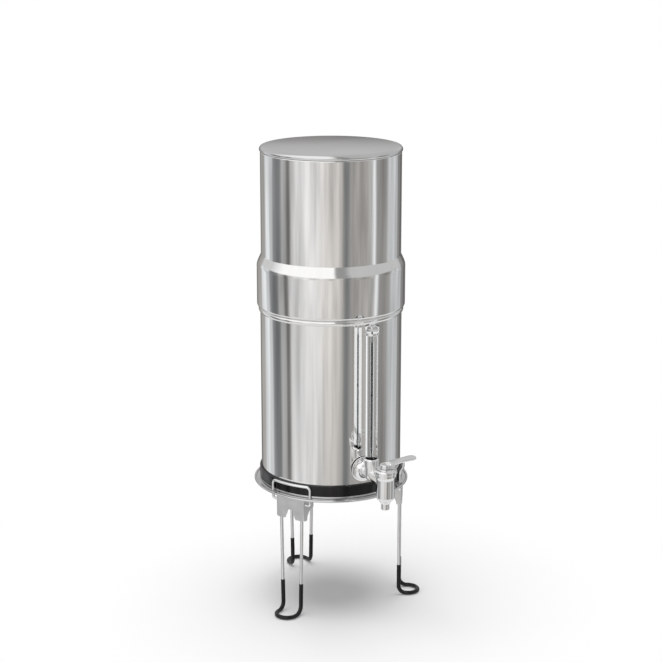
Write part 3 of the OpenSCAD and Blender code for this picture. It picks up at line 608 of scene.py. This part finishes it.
for turn in leg_turns.values():
    for across in (-drop_y, drop_y):
        hole = rod(hoop_hole_radius, plate_under - through, plate_under + through, 24)
        moved(hole, drop_x, across)
        bmesh.ops.rotate(hole, verts=hole.verts[:], matrix=Matrix.Rotation(turn, 3, "Z"))
        hoop_holes.append(hole)
piece(
    "support_plate_steel", joined([turned(outline, 192)], hoop_holes),
    satin_steel, "support_plate")


# The leg brackets: folded steel channels welded under the plate, matt grey from the
# rolling mill, with the edges just broken.
def edged(name, node, material, width):
    """A merged copy of a CAD node, with its edges broken by a small bevel of this width."""
    bm = bmesh.new()
    bm.from_mesh(frame["nodes"][node].data)
    bmesh.ops.remove_doubles(bm, verts=bm.verts[:], dist=1e-6)
    made = piece(name, bm, material, node)
    if width:
        soft = made.modifiers.new("broken_edges", "BEVEL")
        soft.width = width
        soft.segments = 2
        soft.limit_method = "ANGLE"
        soft.angle_limit = math.radians(40)
        soft.harden_normals = True
    return made


bracket_steel = metal("bracket_steel", (0.62, 0.62, 0.62), (0.72, 0.72, 0.72), 0.42, 0.55, 60.0)
for side in leg_turns:
    edged("bracket_" + side + "_steel", "bracket_" + side, bracket_steel, 0.0003)


# The leg wires: bright drawn steel, bent at the foot into a flat loop and welded into the
# brackets. Each foot is dipped in a black coating, five centimetres high.
def bent(points, corners):
    """A wire's path: straight runs between points, each inner corner bent to its radius."""
    turn_steps = 10
    path = [Vector(points[0])]
    for before, here, after, radius in zip(points, points[1:], points[2:], corners):
        here = Vector(here)
        back = (Vector(before) - here).normalized()
        ahead = (Vector(after) - here).normalized()
        half = back.angle(ahead) / 2
        set_back = radius / math.tan(half)
        centre = here + (back + ahead).normalized() * (radius / math.sin(half))
        start = (here + back * set_back - centre).normalized()
        end = (here + ahead * set_back - centre).normalized()
        for i in range(turn_steps + 1):
            path.append(centre + radius * start.slerp(end, i / turn_steps))
    path.append(Vector(points[-1]))
    return path


def mirrored_half(path):
    """The other half of a wire's path, which runs back on the far side of its leg."""
    return [Vector((p.x, -p.y, p.z)) for p in reversed(path)]


def wire(name, path, turn, radius, material, node, end_radius=None):
    """A round wire along a path, turned to its leg, as a mesh with closed ends."""
    curve = bpy.data.curves.new(name, "CURVE")
    curve.dimensions = "3D"
    curve.bevel_depth = radius
    curve.bevel_resolution = 6
    curve.use_fill_caps = True
    line = curve.splines.new("POLY")
    line.points.add(len(path) - 1)
    spun = Matrix.Rotation(turn, 4, "Z")
    for point, place in zip(line.points, path):
        point.co = (*(spun @ place), 1)
    if end_radius:
        line.points[0].radius = end_radius
        line.points[-1].radius = end_radius
    rough = bpy.data.objects.new(name + "_path", curve)
    scene.collection.objects.link(rough)
    bpy.context.view_layer.update()
    done = rough.evaluated_get(bpy.context.evaluated_depsgraph_get())
    mesh = bpy.data.meshes.new_from_object(done)
    bpy.data.objects.remove(rough)
    bm = bmesh.new()
    bm.from_mesh(mesh)
    bpy.data.meshes.remove(mesh)
    bmesh.ops.remove_doubles(bm, verts=bm.verts[:], dist=1e-7)
    bmesh.ops.recalc_face_normals(bm, faces=bm.faces[:])
    return piece(name, bm, material, node)


wire_steel = metal("wire_steel", (0.82, 0.825, 0.83), (0.89, 0.895, 0.90), 0.05, 0.11, 70.0)
foot_coating = moulded("foot_coating", (0.005, 0.005, 0.005), 0.05, 0.12, 120.0, 0.06)
wire_radius = 0.0024
sleeve_radius = 0.0030
sleeve_top = 0.048
sleeve_lip = 0.0007
wire_x = 0.1014
wire_top = 0.1759
top_half = 0.0181
foot_half = 0.0152
foot_bend = 0.011
foot_tip = wire_x + 0.028
splay = (top_half - foot_half) / (wire_top - sleeve_radius)
dip_y = foot_half + splay * (sleeve_top - sleeve_radius)
loop = [
    Vector((x, y, sleeve_radius))
    for x, y in arc(foot_tip - foot_half, 0, foot_half, -90, 90, 16)]
run = bent(
    [(wire_x, -top_half, wire_top), (wire_x, -foot_half, sleeve_radius), loop[0]], [foot_bend])
leg_path = run[:-1] + loop + mirrored_half(run)[1:]
dip = [Vector((wire_x, -dip_y, sleeve_top)), Vector((wire_x, -dip_y, sleeve_top - sleeve_lip))]
sleeve_path = dip + leg_path[1:-1] + mirrored_half(dip)
for side, turn in leg_turns.items():
    wire("leg_wire_" + side + "_steel", leg_path, turn, wire_radius, wire_steel,
         "leg_wire_" + side)
    wire("foot_sleeve_" + side + "_coating", sleeve_path, turn, sleeve_radius, foot_coating,
         "foot_sleeve_" + side, end_radius=0.86)


# The hoops: the same bright wire, thinner, bent to the ring's curve. Each rises through
# the plate in front of the ring, and its ends turn in through the bracket's cheeks.
hoop_radius = 0.0019
hoop_bar = plate_under + 0.0195
hoop_end = plate_under - 0.008
hoop_end_half = 0.0221
hoop_end_bend = 0.004
bar = [
    Vector((x, y, hoop_bar))
    for x, y in arc(0, 0, hoop_track, -math.degrees(bar_turn), math.degrees(bar_turn), 20)]
corner = Vector((drop_x, -drop_y, hoop_bar))
drop = Vector((drop_x, -drop_y, hoop_end))
end = Vector((drop_x, -hoop_end_half, hoop_end))
run = bent([end, drop, corner, bar[0]], [hoop_end_bend, hoop_bend])
hoop_path = run[:-1] + bar + mirrored_half(run)[1:]
for side, turn in leg_turns.items():
    wire("hoop_" + side + "_steel", hoop_path, turn, hoop_radius, wire_steel, "hoop_" + side)


# The tap: a polished steel casting. A level tube leaves the wall, carries the boss for the
# gauge, widens, and joins the upright valve body, whose taper ends in the nozzle.
tap_chrome = metal("tap_chrome", (0.84, 0.84, 0.84), (0.90, 0.90, 0.90), 0.05, 0.10, 40.0)
washer_x = 0.1030
gauge_x = 0.1270
valve_x = 0.1686
gland_low, gland_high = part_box("gauge_gland_nut")
tube_low, tube_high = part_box("gauge_tube")
gland_radius = gland_high.x
tube_radius = tube_high.x

shank_radius = 0.008
shank_end = 0.0854
shank = laid_out(rod(shank_radius, shank_end, washer_x + 0.0005, 64))
tap_tube_radius = 0.0084
tap_tube = laid_out(rod(tap_tube_radius, washer_x, gauge_x, 64))
gland_wall = 0.00095
boss_radius = gland_radius - gland_wall
boss_top = tap_z + 0.017
boss = turned(
    [(0, tap_z - boss_radius)] + arc(0, tap_z, boss_radius, -90, 0, 12)[1:]
    + [(boss_radius, boss_top), (0, boss_top)], 64)
arm_x = gauge_x + 0.0056
arm_length = 0.0298
arm_slim, arm_wide = 0.0076, 0.0113
arm = turned([(0, 0), (arm_slim, 0), (arm_wide, arm_length), (0, arm_length)], 64)

valve_radius = 0.0125
valve_rim = 0.0153
valve_top = tap_z + 0.0142
valve_low = tap_z - 0.0183
valve_foot_round = 0.0066
flare_round = 0.0080
flare_z = valve_top - 0.0095
nozzle_radius = valve_radius - valve_foot_round
nozzle_edge = 0.0006
nozzle_z = valve_low - 0.0115
nozzle_foot = nozzle_z - 0.0085
valve = turned(
    [(0, nozzle_foot), (nozzle_radius - nozzle_edge, nozzle_foot)]
    + [(nozzle_radius, nozzle_foot + nozzle_edge), (nozzle_radius, nozzle_z)]
    + arc(nozzle_radius, valve_low - 0.001, valve_foot_round, -62, 0, 10)
    + arc(valve_radius + flare_round, flare_z, flare_round, 180, 131, 10)
    + [(valve_rim, valve_top), (0, valve_top)], 96)

bore = 0.004
gauge_way = 0.002
cavity_radius = 0.0095
seat_z = valve_low + 0.0025
past = 0.001
bore_start = 0.08
socket_radius = tube_radius + 0.0001
socket_foot = tap_z + 0.009
above_boss = tap_z + 0.02
hollows = [
    laid_out(rod(bore, bore_start, valve_x)),
    moved(rod(gauge_way, tap_z, above_boss), y=-gauge_x),
    moved(rod(socket_radius, socket_foot, above_boss), y=-gauge_x),
    moved(rod(cavity_radius, seat_z, valve_top + through, 96), y=-valve_x),
    moved(rod(bore, nozzle_foot - past, seat_z + past), y=-valve_x),
]
tap_solids = [
    moved(valve, y=-valve_x), laid_out(arm, arm_x), moved(boss, y=-gauge_x), tap_tube, shank]
piece("tap_body_steel", joined(tap_solids, hollows), tap_chrome, "tap_body", 30)


# The escutcheon: a thin polished bell over the hole in the wall. It slips over the tap's
# tube and lies flat against the outer washer.
bell_hole = tap_tube_radius + 0.00005
bell_radius = 0.0184
bell_edge = 0.0007
bell_foot = 0.0178
bell_brim = 0.0166
bell_height = 0.0085
outline = (
    [(bell_hole, 0), (bell_foot, 0)]
    + arc(bell_radius - bell_edge, bell_edge + 0.0001, bell_edge, -60, 90, 5)
    + arc(bell_brim, bell_height, 0.0069, 270, 180, 10, rise=0.0066)
    + [(bell_hole, bell_height)]
)
piece(
    "tap_escutcheon_steel", laid_out(turned(outline, 96), washer_x),
    tap_chrome, "tap_escutcheon")


# The bonnet: a domed nut of polished steel whose skirt is screwed into the valve body.
# The stem turns in the hole in its top.
bonnet_low, bonnet_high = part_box("tap_bonnet")
bonnet_radius = bonnet_high.x
bonnet_hole = 0.00405
bonnet_edge = 0.0008
bonnet_side = 0.0040
bonnet_crown = 0.0085
bonnet_rise = 0.0030
bonnet_roof = bonnet_low.z + 0.014
skirt_inner, skirt_outer = 0.0082, 0.00945
outline = (
    [(bonnet_hole, bonnet_roof + 0.002), (skirt_inner, bonnet_roof)]
    + [(skirt_inner, bonnet_low.z), (skirt_outer, bonnet_low.z)]
    + [(skirt_outer, valve_top), (bonnet_radius - bonnet_edge, valve_top)]
    + arc(bonnet_radius - bonnet_edge, valve_top + bonnet_edge, bonnet_edge, -90, 0, 4)
    + arc(bonnet_crown, valve_top + bonnet_side, bonnet_radius - bonnet_crown, 0, 90, 10,
          rise=bonnet_rise)
    + [(bonnet_hole, bonnet_high.z)]
)
piece("tap_bonnet_steel", moved(turned(outline, 96), y=-valve_x), tap_chrome, "tap_bonnet")


# The lever: cast and polished. A round hub sits on the stem, and the arm leaves it
# sideways, narrows, rises a little, and ends in a flat rounded paddle.
hub_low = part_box("tap_lever")[0].z
hub_top = hub_low + 0.006
hub_radius = 0.0080
hub_edge = 0.0012
hub_roof = hub_top - 0.0014
hub_dish = hub_top - 0.0005
hub_foot = 0.0072
dish_brim, dish_radius = 0.0061, 0.0054
stem_socket = 0.0031
hub = turned(
    [(stem_socket, hub_low), (hub_foot, hub_low), (hub_radius, hub_low + hub_edge)]
    + [(hub_radius, hub_roof)]
    + arc(hub_radius - hub_edge, hub_top - hub_edge, hub_edge, 0, 90, 6)
    + [(dish_brim, hub_top), (dish_radius, hub_dish), (0, hub_dish), (0, hub_roof)]
    + [(stem_socket, hub_roof)], 64)
# distance out, half width, half thickness and height of each section of the arm
arm_sections = [
    (0.0030, 0.0068, 0.0024, 0.0052), (0.0080, 0.0074, 0.0029, 0.0057),
    (0.0140, 0.0068, 0.0032, 0.0065), (0.0200, 0.0060, 0.0033, 0.0072),
    (0.0255, 0.0056, 0.0033, 0.0077), (0.0310, 0.0060, 0.0033, 0.0080),
    (0.0360, 0.0067, 0.0032, 0.0083), (0.0400, 0.0070, 0.0031, 0.0084),
    (0.0430, 0.0064, 0.0028, 0.0085), (0.0452, 0.0048, 0.0022, 0.0086),
    (0.0466, 0.0022, 0.0011, 0.0087),
]


def ring_edges(ring):
    """The edges that join a ring's points, each once."""
    return list(dict.fromkeys(
        edge for point in ring for edge in point.link_edges if edge.other_vert(point) in ring))


lever_bm = bmesh.new()
rings = []
for reach, half, thick, rise in arm_sections:
    ring = bmesh.ops.create_circle(lever_bm, segments=20, radius=1.0)["verts"]
    bmesh.ops.scale(lever_bm, verts=ring, vec=(half, thick, 1))
    for axis in ("X", "Z"):
        quarter = Matrix.Rotation(math.pi / 2, 3, axis)
        bmesh.ops.rotate(lever_bm, verts=ring, matrix=quarter)
    bmesh.ops.translate(lever_bm, verts=ring, vec=(reach, -valve_x, hub_low + rise))
    rings.append(ring)
for here, ahead in zip(rings, rings[1:]):
    bmesh.ops.bridge_loops(lever_bm, edges=ring_edges(here) + ring_edges(ahead))
for ring in (rings[0], rings[-1]):
    bmesh.ops.contextual_create(lever_bm, geom=ring_edges(ring))
bmesh.ops.recalc_face_normals(lever_bm, faces=lever_bm.faces[:])
bmesh.ops.subdivide_edges(
    lever_bm, edges=lever_bm.edges[:], cuts=2, use_grid_fill=True,
    smooth=1.0, smooth_falloff="SMOOTH")
piece(
    "tap_lever_steel", joined([moved(hub, y=-valve_x), lever_bm]), tap_chrome, "tap_lever", 30)


# The gland nut: a polished ring screwed onto the tap's boss, with a chamfered top. It
# presses the seal against the foot of the gauge's tube.
gland_edge = 0.0006
gland_chamfer = 0.0015
gland_top = 0.0038
tube_fit = tube_radius + 0.00005
outline = [
    (boss_radius, gland_low.z), (gland_radius - gland_edge, gland_low.z),
    (gland_radius, gland_low.z + gland_edge), (gland_radius, gland_high.z - gland_chamfer),
    (gland_radius - gland_chamfer, gland_high.z), (tube_fit, gland_high.z),
    (tube_fit, gland_high.z - gland_top), (boss_radius, gland_high.z - gland_top)]
piece(
    "gauge_gland_nut_steel", moved(turned(outline, 72), y=-gauge_x),
    tap_chrome, "gauge_gland_nut")


# The sight gauge: a thick clear tube with a narrow bore stands in the gland nut, and a
# clear cap on a bright ring closes it; water and float ride in the bore.
def clear(name, tint, index):
    """Clear acrylic, with a faint waviness from its extrusion and painted shade on the wall of
    its bore.
    """
    made = bpy.data.materials.new(name)
    made.use_nodes = True
    tree = made.node_tree
    body = tree.nodes["Principled BSDF"]
    body.inputs["Transmission Weight"].default_value = 1.0
    body.inputs["IOR"].default_value = index
    place = tree.nodes.new("ShaderNodeTexCoord").outputs["Object"]
    # painted shade: the wall of the bore is tinted dark, in place of the shade that the narrow
    # bore shows through the clear wall
    middle = tree.nodes.new("ShaderNodeVectorMath")
    middle.operation = "MULTIPLY_ADD"
    middle.inputs[1].default_value = (1, 1, 0)
    middle.inputs[2].default_value = (0, gauge_x, 0)
    tree.links.new(place, middle.inputs[0])
    off_axis = tree.nodes.new("ShaderNodeVectorMath")
    off_axis.operation = "LENGTH"
    tree.links.new(middle.outputs[0], off_axis.inputs[0])
    outside = remap(tree, off_axis.outputs["Value"], 0.0022, 0.0026)
    painted_bore_shade = mix(tree, outside, (0.12, 0.14, 0.15, 1), (*tint, 1))
    tree.links.new(painted_bore_shade, body.inputs["Base Color"])
    haze = remap(tree, noise(tree, place, 30, 2), 0, 1, 0, 0.012)
    tree.links.new(haze, body.inputs["Roughness"])
    return made


clear_tube = clear("clear_tube", (0.97, 0.98, 0.98), 1.3)
cap_ring_low, cap_ring_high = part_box("gauge_cap_ring")
vent = 0.0010
bore_radius = 0.0018
bore_taper = 0.005
bore_low = gland_high.z + 0.008
bore_high = cap_ring_low.z - 0.008
tube_edge = 0.0003
outline = [
    (vent, tube_low.z), (tube_radius - tube_edge, tube_low.z),
    (tube_radius, tube_low.z + tube_edge), (tube_radius, tube_high.z), (vent, tube_high.z),
    (vent, bore_high), (bore_radius, bore_high - bore_taper),
    (bore_radius, bore_low + bore_taper), (vent, bore_low)]
piece("gauge_tube_clear", moved(turned(outline, 72), y=-gauge_x), clear_tube, "gauge_tube")


# The gauge's cap ring: bright steel round the head of the tube, with its lower edge
# chamfered. The cap stands on it.
cap_ring_radius = cap_ring_high.x
cap_ring_chamfer = 0.0008
cap_ring_edge = 0.0003
outline = [
    (tube_fit, cap_ring_low.z), (cap_ring_radius - cap_ring_chamfer, cap_ring_low.z),
    (cap_ring_radius, cap_ring_low.z + cap_ring_chamfer),
    (cap_ring_radius, cap_ring_high.z - cap_ring_edge),
    (cap_ring_radius - cap_ring_edge, cap_ring_high.z), (tube_fit, cap_ring_high.z)]
piece(
    "gauge_cap_ring_steel", moved(turned(outline, 72), y=-gauge_x),
    tap_chrome, "gauge_cap_ring")


# The gauge's cap: the same clear plastic as the tube, moulded with a rounded top. It is
# pushed over the tube's head.
cap_low, cap_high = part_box("gauge_cap")
cap_radius = cap_high.x
cap_round = 0.0025
cap_depth = 0.0031
outline = (
    [(tube_fit, cap_low.z), (cap_radius, cap_low.z)]
    + arc(cap_radius - cap_round, cap_high.z - cap_round, cap_round, 0, 90)
    + [(0, cap_high.z), (0, cap_low.z + cap_depth), (tube_fit, cap_low.z + cap_depth)]
)
piece("gauge_cap_clear", moved(turned(outline, 72), y=-gauge_x), clear_tube, "gauge_cap")


# What the chambers, the tap and the gauge hide: candles, washers, nuts, discs, seals and
# the float. Each keeps its solid's shape and gets its own stuff.
black_rubber = moulded("black_rubber", (0.02, 0.02, 0.02), 0.45, 0.6)
hidden = {
    "filter_candles": moulded("carbon", (0.035, 0.035, 0.036), 0.6, 0.85, 300.0, 0.5),
    "candle_bases": moulded("black_plastic", (0.03, 0.03, 0.032), 0.3, 0.45),
    "candle_seals": black_rubber,
    "candle_wing_nuts": moulded("white_plastic", (0.75, 0.75, 0.73), 0.3, 0.45),
    "tap_outer_washer": black_rubber,
    "tap_inner_washer": black_rubber,
    "tap_lock_nut": wire_steel,
    "tap_stem": wire_steel,
    "tap_stem_seals": black_rubber,
    "tap_turning_disc": moulded("ceramic", (0.85, 0.85, 0.82), 0.08, 0.15),
    "tap_seat": black_rubber,
    "lever_screw": wire_steel,
    "gauge_seal": black_rubber,
    "gauge_float": moulded("float_black", (0.02, 0.02, 0.02), 0.3, 0.5),
}
hidden["tap_fixed_disc"] = hidden["tap_turning_disc"]
for node, stuff in hidden.items():
    edged(node + "_part", node, stuff, 0)
